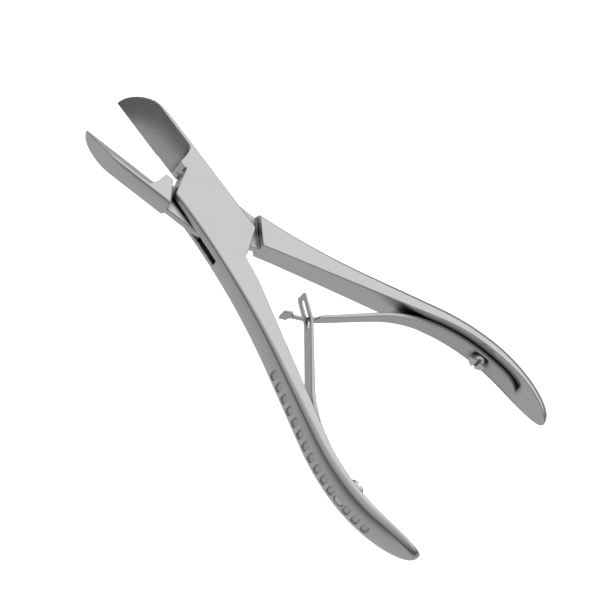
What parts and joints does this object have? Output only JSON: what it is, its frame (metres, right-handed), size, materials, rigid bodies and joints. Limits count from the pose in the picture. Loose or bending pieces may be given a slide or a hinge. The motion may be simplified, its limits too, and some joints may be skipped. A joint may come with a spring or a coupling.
{
  "type": "box-joint nippers",
  "caption": "All-steel box-joint nippers with curved bevelled cutting jaws, bowed grooved handles and a pair of interlocking leaf springs.",
  "frame": {"origin": "the pivot's axis at the flat underside of the box joint", "axes": "+X along the middle of the tool from the pivot towards the handles, +Y towards the tongue arm's handle, +Z along the pivot's axis from the flat underside towards the face with the jaw bevels"},
  "size_m": [0.1403, 0.0671, 0.0124],
  "materials": {
    "forged_steel": "satin ground and polished stainless steel",
    "pin_steel": "ground flush with the box",
    "spring_steel": "satin polished spring steel",
    "screw_steel": "turned and polished"
  },
  "bodies": {
    "box_arm": {"box_arm": "forged_steel", "pivot_pin": "pin_steel", "box_arm_screw": "screw_steel"},
    "tongue_arm": {"tongue_arm": "forged_steel", "tongue_arm_screw": "screw_steel"},
    "box_arm_leaf": {"box_arm_spring": "spring_steel"},
    "tongue_arm_leaf": {"tongue_arm_spring": "spring_steel"}
  },
  "joints": [
    {"name": "jaw_pivot", "type": "hinge", "parent": "box_arm", "child": "tongue_arm", "pos_m": [0, 0, 0.0039], "axis": [0, 0, 1], "range_deg": [-17.4, 0], "stiffness_Nm_per_rad": 2},
    {"name": "box_arm_leaf_flex", "type": "hinge", "parent": "box_arm", "child": "box_arm_leaf", "pos_m": [0.05477, -0.02108, 0.0039], "axis": [0, 0, 1], "range_deg": [0, 14.2], "deforming": ["box_arm_spring"]},
    {"name": "tongue_arm_leaf_flex", "type": "hinge", "parent": "tongue_arm", "child": "tongue_arm_leaf", "pos_m": [0.0553, 0.01964, 0.0039], "axis": [0, 0, 1], "range_deg": [-14.2, 0], "deforming": ["tongue_arm_spring"]}
  ],
  "couplings": [
    {"joint": "box_arm_leaf_flex", "follows": "jaw_pivot", "ratio": -0.8},
    {"joint": "tongue_arm_leaf_flex", "follows": "jaw_pivot", "ratio": 0.8}
  ]
}
